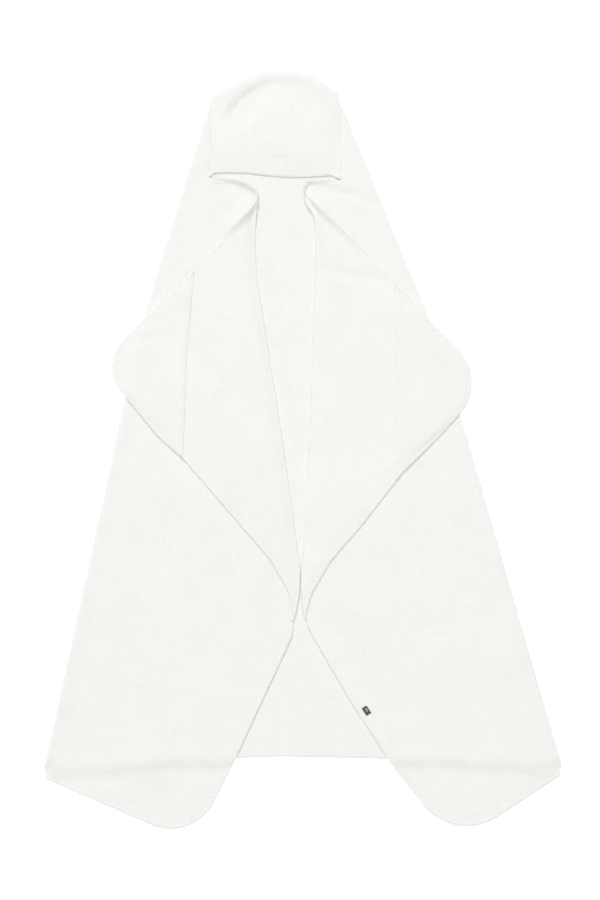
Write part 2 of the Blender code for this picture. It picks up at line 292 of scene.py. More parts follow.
# Creases of each stretch: reach to the left and to the right, and the path's rows x, y, height
CREASES = {
    "front_left": [
        ((14, 14), [(-125, -336, 0), (-108, -362, 0.9), (-95, -385, 0.9), (-86, -404, 0)]),
    ],
    "front_right": [
        ((14, 10), [
            (12, 393, 0), (49, 384, -1.8), (76, 382, -1.8), (102, 369, -1.4), (128, 356, 0),
        ]),
    ],
    "lapel_left": [
        ((10, 10), [(-141, 222, 0), (-119, 206, 0.8), (-98, 191, 0)]),
        ((9, 9), [
            (-243, 186, 0), (-230, 192, -1.1), (-206, 202, -1.0), (-184, 208, -0.7), (-160, 210, 0),
        ]),
        ((10, 10), [
            (-266, 150, 0), (-254, 160, -0.9), (-228, 168, -1.0), (-195, 169, -0.7), (-172, 166, 0),
        ]),
        ((9, 9), [(-130, 105, 0), (-120, 93, 0.7), (-109, 80, 0)]),
    ],
    "lapel_right": [
        ((14, 16), [
            (16, 272, 0), (40, 268, -1.4), (75, 262, -1.5), (105, 257, -1.3), (140, 238, 0),
        ]),
        ((6, 7), [(222, 44, 0), (208, 26, -0.9), (165, -7, -1.0), (130, -35, -0.9), (104, -60, 0)]),
        ((9, 9), [(160, -5, 0), (180, 12, 0.8), (201, 30, 0)]),
    ],
    "hood": [
        ((15, 44), [
            (-118, 476, 0), (-112, 494, -3.2), (-99, 513, -5.0), (-80, 530, -5.6),
            (-60, 542, -4.6), (-40, 547, -3.0), (-12, 546, -2.2), (12, 535, -2.0),
            (29, 517, -1.8), (41, 494, 0),
        ]),
        ((4, 16), [(-71, 503, 0), (-74, 485, 1.4), (-78, 465, 0)]),
        ((4, 9), [(-91, 480, 0), (-93, 472, 0.6), (-96, 463, 0)]),
        ((4, 14), [(-15, 522, 0), (-17, 514, 0.9), (-19, 505, 0)]),
        ((8, 8), [(-64, 439, 0), (-40, 437, -1.2), (-14, 438, 0)]),
    ],
}


# Chains of points in plan


def rounded(corners):
    """The chain through a table's corners, each one rounded by an arc of its radius."""
    places = [np.array(row[:2], float) for row in corners]
    chain = [places[0]]
    for index in range(1, len(corners) - 1):
        corner, radius = places[index], corners[index][2]
        back = places[index - 1] - corner
        back /= np.hypot(*back)
        ahead = places[index + 1] - corner
        ahead /= np.hypot(*ahead)
        turn = math.pi - math.acos(np.clip(back @ ahead, -1, 1))
        reach = radius * math.tan(turn / 2)
        if reach < 1e-6:
            chain.append(corner)
            continue
        middle = corner + (back + ahead) / np.hypot(*(back + ahead)) * radius / math.cos(turn / 2)
        start = corner + back * reach - middle
        side = 1 if back[0] * ahead[1] - back[1] * ahead[0] < 0 else -1
        steps = max(2, math.ceil(turn / ARC_STEP))
        for angle in side * turn * np.arange(steps + 1) / steps:
            cos, sin = math.cos(angle), math.sin(angle)
            chain.append(middle + (start[0] * cos - start[1] * sin, start[0] * sin + start[1] * cos))
    chain.append(places[-1])
    return np.array(chain)


def divided(points, longest):
    """The same chain with no run longer than this."""
    chain = [points[:1]]
    for start, end in zip(points, points[1:]):
        parts = max(1, math.ceil(np.hypot(*(end - start)) / longest))
        shares = (np.arange(parts) + 1)[:, None] / parts
        chain.append(start + (end - start) * shares)
    return np.concatenate(chain)


def side_normals(points):
    """A unit normal at each point of a chain, to the left of its direction."""
    along = np.gradient(points, axis=0)
    normals = np.stack([-along[:, 1], along[:, 0]], 1)
    return normals / np.hypot(*normals.T)[:, None]


def moved_aside(points, distance):
    return points + side_normals(points) * distance


def chain(corners, aside=0.0):
    """An edge as a chain of points, moved to its left by this much."""
    return moved_aside(divided(rounded(corners), EDGE_STEP), aside)


def with_ends(points, start=None, end=None):
    """The chain with other end points, and without the points near the old ones."""
    if end is not None:
        points = with_ends(points[::-1], end)[::-1]
    if start is not None:
        far = np.hypot(*(points - points[0]).T)
        points = np.vstack([start, points[far > np.hypot(*(start - points[0])) + 1]])
    return points


def joined(*chains):
    """One closed outline from chains laid end to end."""
    outline = []
    for point in np.concatenate(chains):
        if not outline or np.hypot(*(point - outline[-1])) > LEAST_STEP:
            outline.append(point)
    if np.hypot(*(outline[0] - outline[-1])) <= LEAST_STEP:
        outline.pop()
    return np.array(outline)


def closed(outline):
    return np.vstack([outline, outline[:1]])


def curve_through(rows, steps=8):
    """A smooth curve through a path's rows, in all their columns."""
    rows = np.array(rows, float)
    before = np.vstack([2 * rows[0] - rows[1], rows, 2 * rows[-1] - rows[-2]])
    share = (np.arange(steps) / steps)[:, None]
    curve = []
    for a, b, c, d in zip(before, before[1:], before[2:], before[3:]):
        bend = 2 * a - 5 * b + 4 * c - d
        twist = 3 * b - a - 3 * c + d
        curve.append(b + 0.5 * share * ((c - a) + share * (bend + share * twist)))
    return np.vstack([*curve, rows[-1:]])


def tree_of(points):
    """A tree that finds the nearest of these points in plan."""
    tree = KDTree(len(points))
    for index, (x, y) in enumerate(points[:, :2]):
        tree.insert((x, y, 0), index)
    tree.balance()
    return tree


class Nearest:
    """For points in plan: a chain's distance, the signed one to its left, and its nearest place."""

    def __init__(self, points, run):
        tree = tree_of(run)
        found = np.array([tree.find((x, y, 0))[1] for x, y in points], int)
        self.far = np.full(len(points), np.inf)
        self.left = np.zeros(len(points))
        self.place = np.zeros(len(points))
        for shift in (-1, 0):
            index = np.clip(found + shift, 0, len(run) - 2)
            start = run[index, :2]
            along = run[index + 1, :2] - start
            offset = points - start
            length = np.maximum((along**2).sum(1), 1e-12)
            share = np.clip((offset * along).sum(1) / length, 0, 1)
            far = np.hypot(*(offset - along * share[:, None]).T)
            cross = along[:, 0] * offset[:, 1] - along[:, 1] * offset[:, 0]
            closer = far < self.far - 1e-9
            self.far = np.where(closer, far, self.far)
            self.left = np.where(closer, np.sign(cross) * far, self.left)
            self.place = np.where(closer, index + share, self.place)


def inside(points, outline):
    """Which points lie inside a closed outline, by counting the edges to their right."""
    odd = np.zeros(len(points), bool)
    x, y = points.T
    for (x0, y0), (x1, y1) in zip(outline, np.roll(outline, -1, 0)):
        if y0 != y1:
            spans = (y0 > y) != (y1 > y)
            odd ^= spans & (x < x0 + (y - y0) * (x1 - x0) / (y1 - y0))
    return odd


def kept_off(points, others, distance):
    """Those of the points that are at least this far from all the others."""
    if not len(points):
        return points
    tree = tree_of(others)
    far = np.array([tree.find((x, y, 0))[2] for x, y in points])
    return points[far >= distance]


def kept_clear(edge, fold, side):
    """The edge without its points too near a fold that it meets, on the fold's cloth side."""
    keep = Nearest(edge, fold).left * side > LEAST_WIDTH
    keep[[0, -1]] = True
    return divided(edge[keep], EDGE_STEP)


# Smooth steps and ridges


def eased(value):
    """From 0 to 1, level at both ends."""
    value = np.clip(value, 0, 1)
    return value * value * (3 - 2 * value)


def ramp(value, start, end):
    return eased((value - start) / (end - start))


def bell(value, reach):
    """1 at 0, falling smoothly to 0 at this reach on either side."""
    return 1 - ramp(np.abs(value), 0, reach)


def crest(value, reach):
    """1 at 0, falling steeply at first and reaching 0 level at this reach on either side."""
    steepness = 1.4
    return (1 - np.clip(np.abs(value) / reach, 0, 1)) ** steepness


def ridge(points, reaches, rows, shape=bell):
    """A ridge or, where its height is negative, a trough along a smooth path."""
    path = curve_through(rows)
    near = Nearest(points, path)
    height = np.interp(near.place, np.arange(len(path)), path[:, 2])
    left, right = (shape(near.far, reach) for reach in reaches)
    return height * np.where(near.left > 0, left, right)


def creased(points, name):
    return sum(ridge(points, reaches, rows) for reaches, rows in CREASES[name])


def lips(points, side):
    """How far the neck's free edges stand up here."""
    return np.maximum.reduce([ridge(points, reaches, rows, crest) for reaches, rows in LIPS[side]])


def front_lips(points, side):
    """The same for a front, which rises only partly and gently under the lapel's edge."""
    (neck_reaches, neck_rows), (reaches, rows) = LIPS[side]
    reaches = (reaches[0], LIP_APRON) if side == "left" else (LIP_APRON, reaches[1])
    under = ridge(points, reaches, rows) * LIP_SHARE
    return np.maximum(ridge(points, neck_reaches, neck_rows, crest), under)


def waves(points, name):
    """The low, uneven swell of cloth that lies loosely."""
    seed, wide, small = WAVES[name]

    def height(point, size, seed):
        return noise.noise(Vector((point[0] / size[0], point[1] / size[1], seed)))

    return np.array([
        wide * height(point, WIDE_WAVE, seed) + small * height(point, SMALL_WAVE, seed + SEED_STEP)
        for point in points
    ])


def profile(table, distance):
    """Thickness and middle height at this distance from an edge."""
    return [np.interp(distance, table[:, 0], table[:, column]) for column in (1, 2)]


# The towel's lay


class Layout:
    """The towel's chains in plan, and the height of each layer's underside."""

    def __init__(self):
        self.outer = {side: self.outer_fold(side) for side in SIGN}
        self.inner = {side: chain(INNER_FOLD[side], -SIGN[side] * INNER_INSET) for side in SIGN}
        self.corners = np.array([self.outer[side][end] for side in self.outer for end in (0, -1)])
        self.arch = with_ends(chain(HOOD_ARCH), self.outer["left"][0], self.outer["right"][0])
        self.bottom = with_ends(chain(BACK_BOTTOM), self.outer["left"][-1], self.outer["right"][-1])
        self.seam, self.neck, self.lapel_edge, self.front_edge = {}, {}, {}, {}
        for side, sign in SIGN.items():
            outer, inner = self.outer[side], self.inner[side]
            seam = with_ends(chain(HOOD_SIDE[side]), start=outer[0])
            self.seam[side] = kept_clear(seam, outer, sign)
            self.neck[side] = with_ends(chain(NECK_EDGE[side]), end=inner[0])
            edge = with_ends(chain(LAPEL_EDGE[side]), inner[0], inner[-1])
            self.lapel_edge[side] = kept_clear(edge, inner, -sign)
            self.front_edge[side] = with_ends(chain(FRONT_EDGE[side]), inner[-1], outer[-1])
        self.mouth = {side: chain(POCKET_MOUTH[side]) for side in POCKET_MOUTH}

    def outer_fold(self, side):
        """The chain on which an outer fold's roll starts and ends, nearer the line at its ends."""
        edge = chain(OUTER_FOLD[side])
        far = np.min([np.hypot(*(edge - end).T) for end in (edge[0], edge[-1])], axis=0)
        inset = FOLD_INSET - (FOLD_INSET - END_INSET) * bell(far, CORNER_RUN)
        return moved_aside(edge, SIGN[side] * inset[:, None])

    def back_outline(self):
        return joined(self.outer["left"], self.bottom, self.outer["right"][::-1], self.arch[::-1])

    def front_outline(self, side):
        edges = (self.seam, self.neck, self.inner, self.front_edge)
        return joined(*(edge[side] for edge in edges), self.outer[side][::-1])

    def lapel_outline(self, side):
        return joined(self.lapel_edge[side], self.inner[side][::-1])

    def front_base(self, points, side):
        """A front's underside: over the back and its hem, and down past the bottom edge."""
        past = -Nearest(points, self.bottom).left
        gap = AIR - (AIR - PINCH_GAP) * self.pinched(points, side)
        over = CLOTH + gap + HEM_RIDGE * ramp(past, *HEM_RIDGE_RUN) + self.puff(points, side)
        lowered = 1 - (1 - CORNER_LEAST) * self.cornered(points)
        sway = waves(points * STEP_SWAY, "step")
        start = STEP_START[side] + sway
        fading = bell(Nearest(points, self.outer[side]).far, STEP_FADE)
        end = start + STEP_RUN + STEP_LATE * fading + sway
        return over * lowered * (1 - ramp(past, start - STEP_EARLY * fading, end))

    def lapel_base(self, points, side):
        """A lapel's underside: over the front, and down past the outer fold."""
        pinched = self.pinched(points, side)
        gaps = 2 * (AIR - (AIR - PINCH_GAP) * pinched)
        over = 2 * CLOTH - PINCH * pinched + gaps + self.puff(points, side)
        return over * (1 - ramp(self.past_fold(points, side), *OVERHANG_RUN))

    def back_level(self, points):
        """The height of the back's underside."""
        return BACK_REST * (1 + waves(points, "back"))

    def front_level(self, points, side):
        """The height of a front's underside, with its lips, its seam and its creases."""
        name = f"front_{side}"
        level = self.front_base(points, side) + front_lips(points, side)
        level -= SEAM_DIP * bell(Nearest(points, self.seam[side]).far, SEAM_RUN)
        return np.maximum(level + creased(points, name) + waves(points, name), 0)

    def lapel_level(self, points, side):
        """The height of a lapel's underside, with its lips, its creases and its edge laid down."""
        name = f"lapel_{side}"
        lip = lips(points, side)
        level = self.lapel_base(points, side) + lip + waves(points, name)
        on_front = self.front_level(points, side) + CLOTH - self.thinned(points, side) + LAID_GAP
        level += (on_front - level) * self.resting(points, side) * (1 - ramp(lip, 0, LAID_LIP))
        return np.maximum(level + creased(points, name), 0)

    def past_fold(self, points, side):
        """How far outside the towel's outer fold these points lie."""
        return -SIGN[side] * Nearest(points, self.outer[side]).left - FOLD_INSET

    def resting(self, points, side):
        """1 where a lapel's edge lies on the front, and 0 away from it and past the outer fold."""
        edge = Nearest(points, self.lapel_edge[side]).far
        return bell(edge, LAID_RUN) * (1 - ramp(self.past_fold(points, side), *LAID_END))

    def lifted(self, points, side):
        """1 where a free edge stands up, and 0 where it lies."""
        return ramp(lips(points, side), *LIFT_RUN)

    def under_pocket(self, points, side):
        """1 where a lapel's edge stands up or a pocket covers it."""
        inward = -SIGN[side] * Nearest(points, self.mouth[side]).left
        return np.maximum(ramp(inward, *COVERED_RUN), self.lifted(points, side))

    def pinched(self, points, side):
        """1 on the inner fold, where layers lie tight, less near the tip, and 0 away from it."""
        tight = TIP_SHARE + (1 - TIP_SHARE) * ramp(points[:, 1], *TIP_RUN)
        return bell(Nearest(points, self.inner[side]).far, PINCH_RUN) * tight

    def cornered(self, points):
        """1 at the corners where an outer fold ends, and 0 away from them."""
        far = np.min([np.hypot(*(points - corner).T) for corner in self.corners], axis=0)
        return bell(far, CORNER_RUN)

    def thinned(self, points, side=None):
        """How much thinner the cloth is pressed, on an inner fold and at an outer fold's ends."""
        thinner = CORNER_PINCH * self.cornered(points)
        if side is not None:
            thinner = np.maximum(thinner, PINCH * self.pinched(points, side))
        return thinner

    def puff(self, points, side):
        """The extra height along the outer fold, which fades towards the hood."""
        within = SIGN[side] * Nearest(points, self.outer[side]).left
        full = 1 - ramp(points[:, 1], *FOLD_PUFF_UP)
        return FOLD_PUFF * full * (1 - ramp(within, *FOLD_PUFF_ACROSS))


@dataclass
class Stretch:
    """One stretch of cloth: its outline, its free edges and the height of its underside.

    Its lattice is finest near its fine paths or all over, and wider apart where zone holds.
    """

    outline: np.ndarray
    level: object
    hems: tuple = ()
    seams: tuple = ()
    folds: tuple = ()
    pinch: object = None
    plain: object = None
    zone: object = None
    fine: bool = False
    fine_paths: tuple = ()

    cloth = CLOTH

    def profiles(self):
        return (self.hems, HEM_PROFILE), (self.seams, PLAIN_PROFILE)

    def section(self, points):
        """The cloth's thickness and its middle's height at these points."""
        thickness = np.full(len(points), self.cloth)
        if self.pinch is not None:
            thickness -= self.pinch(points)
        middle = thickness / 2
        for edges, table in self.profiles():
            for edge in edges:
                far = Nearest(points, edge).far
                near = far < table[-1, 0]
                thick, height = profile(table, far)
                if table is HEM_PROFILE and self.plain is not None:
                    flat_thick, flat_height = profile(THIN_PROFILE, far)
                    share = self.plain(points)
                    thick = thick + (flat_thick - thick) * share
                    height = height + (flat_height - height) * share
                middle = np.where(near, height + (thickness - self.cloth) / 2, middle)
                thickness = np.where(near, thick + thickness - self.cloth, thickness)
        return thickness, self.level(points) + middle

    def rows(self):
        """Rows of points along the edges and folds, so that the mesh follows their profiles."""
        rim = closed(self.outline)
        done = [self.outline]
        for edges, distances, room in (
            (self.hems, HEM_ROWS, HEM_ROOM),
            (self.seams, SEAM_ROWS, SEAM_ROOM),
            (self.folds, FOLD_ROWS, FOLD_ROOM),
        ):
            for edge in edges:
                for distance in distances:
                    for sign in (-1, 1):
                        row = moved_aside(edge, sign * distance)[1:-1]
                        row = row[inside(row, self.outline)]
                        if not len(row):
                            continue
                        row = row[Nearest(row, edge).far > ROW_SHARE * distance]
                        row = kept_off(row, divided(rim, 1.0), room)
                        row = kept_off(row, np.concatenate(done), room)
                        done.append(row)
        return np.concatenate(done)

    def lattice(self):
        """A triangular lattice over the outline, whose spacing each zone sets."""
        low, high = self.outline.min(0), self.outline.max(0)
        rise = GRID * math.sqrt(0.75)
        row = np.arange(int((high[1] - low[1]) / rise) + 2)
        lean = int(len(row) / 2) + 1
        column = np.arange(-lean, int((high[0] - low[0]) / GRID) + 2)
        column, row = (grid.ravel() for grid in np.meshgrid(column, row))
        points = np.stack([low[0] + (column + row / 2) * GRID, low[1] + (row + 0.5) * rise], 1)
        plain = (column % PLAIN == 0) & (row % PLAIN == 0)
        keep = (plain | self.is_fine(points)) & inside(points, self.outline)
        points, column, row = points[keep], column[keep], row[keep]
        if self.zone is not None:
            sparse = (column % HIDDEN == 0) & (row % HIDDEN == 0)
            points = points[sparse | ~self.zone(points)]
        return points

    def is_fine(self, points):
        fine = np.full(len(points), self.fine)
        for reaches, rows in self.fine_paths:
            fine |= Nearest(points, curve_through(rows)).far < max(reaches) + GRID
        return fine

    def mesh(self):
        """The stretch's points in plan and its triangles."""
        rows = self.rows()
        points = np.concatenate([rows, kept_off(self.lattice(), rows, LATTICE_ROOM * GRID * PLAIN)])
        rim = list(range(len(self.outline)))
        made = delaunay_2d_cdt([Vector(point) for point in points], [], [rim], 1, 1e-4)
        if not all(made[3]):
            raise ValueError("an outline crosses itself")
        order = [sources[0] for sources in made[3]]
        return points[order], made[2]


class PocketStretch(Stretch):
    """A pocket's thinner cloth, whose hems are its sewn-in edge and its mouth."""

    cloth = POCKET_CLOTH

    def profiles(self):
        return (self.hems[:1], POCKET_PROFILE), (self.hems[1:], MOUTH_PROFILE)


def placed(name, data, place=(0, 0, 0)):
    """A new object in the scene."""
    obj = bpy.data.objects.new(name, data)
    obj.location = place
    bpy.context.scene.collection.objects.link(obj)
    return obj


def mesh_object(name, verts, faces, finish):
    """A smooth mesh object in the scene."""
    mesh = bpy.data.meshes.new(name)
    mesh.from_pydata([Vector(vert) * MM for vert in verts], [], faces)
    mesh.materials.append(finish)
    mesh.shade_smooth()
    return placed(name, mesh)


def thicken(obj, thickness, group=""):
    """Give a sheet its thickness, half to each side."""
    shell = obj.modifiers.new("Cloth", "SOLIDIFY")
    shell.thickness = thickness * MM
    shell.offset = 0.0
    shell.vertex_group = group


class Sheet:
    """A sheet of cloth gathered stretch by stretch, which Solidify then gives its thickness."""

    def __init__(self):
        self.found = {}
        self.points = []
        self.thickness = []
        self.faces = []

    def vertex(self, x, y, z, thickness):
        key = (round(x, 3), round(y, 3), round(z, 3))
        if key not in self.found:
            self.found[key] = len(self.points)
            self.points.append((x, y, z))
            self.thickness.append(thickness)
        return self.found[key]

    def face(self, corners):
        different = list(dict.fromkeys(corners))
        if len(different) > 2:
            self.faces.append(different)

    def add(self, stretch, facing_up=True):
        points, faces = stretch.mesh()
        thickness, middle = stretch.section(points)
        ids = [self.vertex(x, y, z, t) for (x, y), z, t in zip(points, middle, thickness)]
        for face in faces:
            corners = [ids[index] for index in face]
            self.face(corners if facing_up else corners[::-1])

    def roll(self, run, outward, lower, upper):
        """The round fold along a chain between the two stretches that end on it."""
        sections = zip(run, outward, *lower.section(run), *upper.section(run))
        rings = []
        for point, normal, thick_low, low, thick_high, high in sections:
            middle = (low + high) / 2
            radius = (high - low) / 2
            ring = [self.vertex(*point, low, thick_low)]
            for share in np.arange(1, ROLL_STEPS) / ROLL_STEPS:
                x, y = point + normal * radius * math.sin(math.pi * share)
                z = middle - radius * math.cos(math.pi * share)
                ring.append(self.vertex(x, y, z, thick_low * (1 - share) + thick_high * share))
            ring.append(self.vertex(*point, high, thick_high))
            rings.append(ring)
        for ring, following in zip(rings, rings[1:]):
            for step in range(ROLL_STEPS):
                self.face([ring[step], following[step], following[step + 1], ring[step + 1]])

    def solid(self, name, finish):
        """The sheet as an object with its thickness."""
        obj = mesh_object(name, self.points, self.faces, finish)
        cloth = bmesh.new()
        cloth.from_mesh(obj.data)
        bmesh.ops.recalc_face_normals(cloth, faces=cloth.faces)
        cloth.to_mesh(obj.data)
        cloth.free()
        thickest = max(self.thickness)
        group = obj.vertex_groups.new(name="thickness")
        for index, thickness in enumerate(self.thickness):
            group.add([index], thickness / thickest, "REPLACE")
        thicken(obj, thickest, group.name)
        return obj


# Pieces


def made_alone(name, stretch, finish):
    """A piece that is one stretch of cloth."""
    sheet = Sheet()
    sheet.add(stretch)
    return sheet.solid(name, finish)


def hidden(points, outlines):
    """Which points lie well inside one of these outlines, where another layer covers them."""
    result = np.zeros(len(points), bool)
    for outline in outlines:
        within = inside(points, outline)
        within[within] = Nearest(points[within], closed(outline)).far > HIDDEN_MARGIN
        result |= within
    return result


def make_body(layout, finish):
    """The one big cut: back, two fronts and two lapels, joined by their folds."""
    fronts = {side: layout.front_outline(side) for side in SIGN}
    lapels = {side: layout.lapel_outline(side) for side in SIGN}
    back = Stretch(
        layout.back_outline(),
        layout.back_level,
        hems=[layout.bottom],
        seams=[layout.arch],
        pinch=layout.thinned,
        plain=lambda points: BOTTOM_PRESSED,
        zone=partial(hidden, outlines=[*fronts.values(), hood_outline(layout)]),
    )
    sheet = Sheet()
    sheet.add(back)
    stretches = {"back": back}
    for side, sign in SIGN.items():
        outer, inner = layout.outer[side], layout.inner[side]
        pinch = partial(layout.thinned, side=side)
        front = Stretch(
            fronts[side],
            partial(layout.front_level, side=side),
            hems=[layout.neck[side], layout.front_edge[side]],
            seams=[layout.seam[side]],
            folds=[outer, inner],
            pinch=pinch,
            zone=partial(hidden, outlines=[lapels[side]]),
            plain=partial(layout.lifted, side=side),
            fine_paths=[*LIPS[side], *CREASES[f"front_{side}"]],
        )
        lapel = Stretch(
            lapels[side],
            partial(layout.lapel_level, side=side),
            hems=[layout.lapel_edge[side]],
            folds=[inner],
            pinch=pinch,
            plain=partial(layout.under_pocket, side=side),
            fine_paths=[*LIPS[side], *CREASES[f"lapel_{side}"]],
        )
        sheet.add(front, facing_up=False)
        sheet.add(lapel)
        sheet.roll(outer, side_normals(outer) * -sign, back, front)
        sheet.roll(inner, side_normals(inner) * sign, front, lapel)
        stretches[f"front_{side}"] = front
        stretches[f"lapel_{side}"] = lapel
    return sheet.solid("towel_body", finish), stretches


def hood_edges(layout):
    """The hood front's two sides and its free edge."""
    left = moved_aside(layout.seam["left"], SEAM_GAP)
    right = moved_aside(layout.seam["right"], -SEAM_GAP)
    return left, right, with_ends(chain(HOOD_FRONT_EDGE), left[-1], right[-1])


def hood_outline(layout):
    left, right, edge = hood_edges(layout)
    left[0, 0] += SEAM_END_GAP
    right[0, 0] -= SEAM_END_GAP
    return joined(left, edge, right[::-1], layout.arch[1:-1][::-1])


def make_hood(layout, finish):
    """The dome-shaped front of the hood, over the bell of the back."""
    left, right, edge = hood_edges(layout)

    def level(points):
        arch = Nearest(points, layout.arch).far
        side = np.minimum(Nearest(points, left).far, Nearest(points, right).far)
        hem = Nearest(points, edge).far
        high = HOOD_REST + HOOD_RISE * ramp(arch, *HOOD_RIM_RUN)
        high += creased(points, "hood") + waves(points, "hood")
        high += (CLOTH + HOOD_HEM_GAP - high) * (1 - ramp(hem, 0, HOOD_HEM_RUN))
        high -= HOOD_HEM_TURN * bell(hem, HOOD_TURN_RUN)
        low = CLOTH + AIR - SEAM_DIP + np.maximum(lips(points, "left"), lips(points, "right"))
        return low + (np.maximum(high, HOOD_REST) - low) * ramp(side, 0, HOOD_SIDE_RUN)

    hood = Stretch(
        hood_outline(layout),
        level,
        hems=[edge],
        seams=[left, right, layout.arch],
        plain=lambda points: HOOD_HEM_THIN,
        fine=True,
    )
    return made_alone("towel_hood_front", hood, finish), hood, edge


def top_of(stretch, points):
    """The height of a stretch's upper side."""
    thickness, middle = stretch.section(points)
    return middle + thickness / 2


def make_pocket(layout, lapel, side, finish):
    """A hand pocket: cloth over a lapel's corner, made from the lapel's own edge and height."""
    edge = moved_aside(layout.lapel_edge[side], SIGN[side] * POCKET_INSET)
    mouth = layout.mouth[side]
    corner = edge[SIGN[side] * Nearest(edge, mouth).left < -MOUTH_MARGIN]
    outline = joined(corner, mouth[::-1])

    def level(points):
        return top_of(lapel, points) + POCKET_GAP - (CLOTH - POCKET_CLOTH) / 2

    pocket = PocketStretch(outline, level, hems=(corner, mouth))
    return made_alone(f"towel_pocket_{side}", pocket, finish), pocket, corner


def make_label(front, finish):
    """A short tape folded over on itself, lying on the right front."""
    length, width = LABEL_SIZE
    bend = LABEL_FOLD
    run = [(u, 0.0) for u in np.linspace(-length / 2, length / 2 - bend, 7)]
    for angle in np.linspace(-math.pi / 3, math.pi / 3, 3):
        run.append((length / 2 - bend + bend * math.cos(angle), bend * (1 + math.sin(angle))))
    run += [(u, 2 * bend) for u in np.linspace(length / 2 - bend, -length / 2 + LABEL_SHORT, 7)]
    across = np.linspace(-width / 2, width / 2, 7)
    cos, sin = math.cos(LABEL_TURN), math.sin(LABEL_TURN)
    verts = []
    for u, rise in run:
        for v in across:
            turned = (u * cos - v * sin, u * sin + v * cos)
            place = np.array([LABEL_CENTRE]) + turned
            curl = LABEL_CURL * (rise / (2 * bend)) * (v / across[-1]) ** 2
            verts.append((u, v, float(top_of(front, place)[0]) + LABEL_TAPE / 2 + rise + curl))
    count = len(across)
    faces = [
        (first, first + 1, first + count + 1, first + count)
        for row in range(len(run) - 1)
        for first in range(row * count, (row + 1) * count - 1)
    ]
    label = mesh_object("towel_label", verts, faces, finish)
    label.location = (LABEL_CENTRE[0] * MM, LABEL_CENTRE[1] * MM, 0)
    label.rotation_euler.z = LABEL_TURN
    thicken(label, LABEL_TAPE)
    return label


class Thread:
    """Stitches along rows, each one a small spindle half sunk into the cloth."""

    SIDES = 6
    THICK_PART = (0.22, 0.78)

    def __init__(self):
        self.verts = []
        self.faces = []

    def stitch(self, start, end):
        """One stitch between two points in space."""
        along = (end - start) / np.linalg.norm(end - start)
        aside = np.cross(along, (0, 0, 1))
        aside /= np.linalg.norm(aside)
        up = np.cross(aside, along)
        first = len(self.verts)
        self.verts.append(start - up * THREAD)
        for share in self.THICK_PART:
            middle = start + (end - start) * share
            for step in range(self.SIDES):
                angle = 2 * math.pi * step / self.SIDES
                spoke = aside * math.cos(angle) + up * math.sin(angle)
                self.verts.append(middle + THREAD * spoke)
        self.verts.append(end - up * THREAD)
        last = len(self.verts) - 1
        for step in range(self.SIDES):
            after = (step + 1) % self.SIDES
            low, high = first + 1, first + 1 + self.SIDES
            self.faces.append((first, low + after, low + step))
            self.faces.append((low + step, low + after, high + after, high + step))
            self.faces.append((high + step, high + after, last))

    def row(self, stretch, edge, distance, keep=None):
        """A row of stitches on a stretch, this far to the left of its edge."""
        path = moved_aside(edge, distance)
        kept = inside(path, stretch.outline)
        kept &= Nearest(path, closed(stretch.outline)).far > STITCH_SHARE * abs(distance)
        if keep is not None:
            kept &= keep(path)
        for run in np.split(np.arange(len(path)), np.flatnonzero(np.diff(kept)) + 1):
            if kept[run[0]] and len(run) > 1:
                self.run(stretch, path[run])

    def run(self, stretch, points):
        length = np.concatenate([[0], np.cumsum(np.hypot(*np.diff(points, axis=0).T))])
        starts = np.arange(ROW_START, length[-1] - STITCH_LENGTH, STITCH_PITCH)
        ends = []
        for place in (starts, starts + STITCH_LENGTH):
            spot = np.stack([np.interp(place, length, points[:, axis]) for axis in (0, 1)], 1)
            ends.append(np.column_stack([spot, top_of(stretch, spot)]))
        for start, end in zip(*ends):
            self.stitch(start, end)


def make_stitches(layout, stretches, hood, pockets, finish):
    """The stitch rows of every hem that shows and of the pockets."""
    thread = Thread()
    thread.row(stretches["back"], layout.bottom, STITCH_ROW)
    thread.row(hood[0], hood[1], STITCH_ROW)
    for side, sign in SIGN.items():
        front, lapel = stretches[f"front_{side}"], stretches[f"lapel_{side}"]
        pocket, corner = pockets[side]
        mouth = layout.mouth[side]

        def bare(points, mouth=mouth, sign=sign):
            return Nearest(points, mouth).left * sign > MOUTH_GAP

        thread.row(front, layout.neck[side], -STITCH_ROW * sign)
        thread.row(front, layout.front_edge[side], -STITCH_ROW * sign)
        thread.row(lapel, layout.lapel_edge[side], STITCH_ROW * sign, keep=bare)
        thread.row(pocket, corner, STITCH_ROW * sign)
        thread.row(pocket, mouth, -STITCH_ROW * sign)
    return mesh_object("towel_stitches", thread.verts, thread.faces, finish)


# Materials


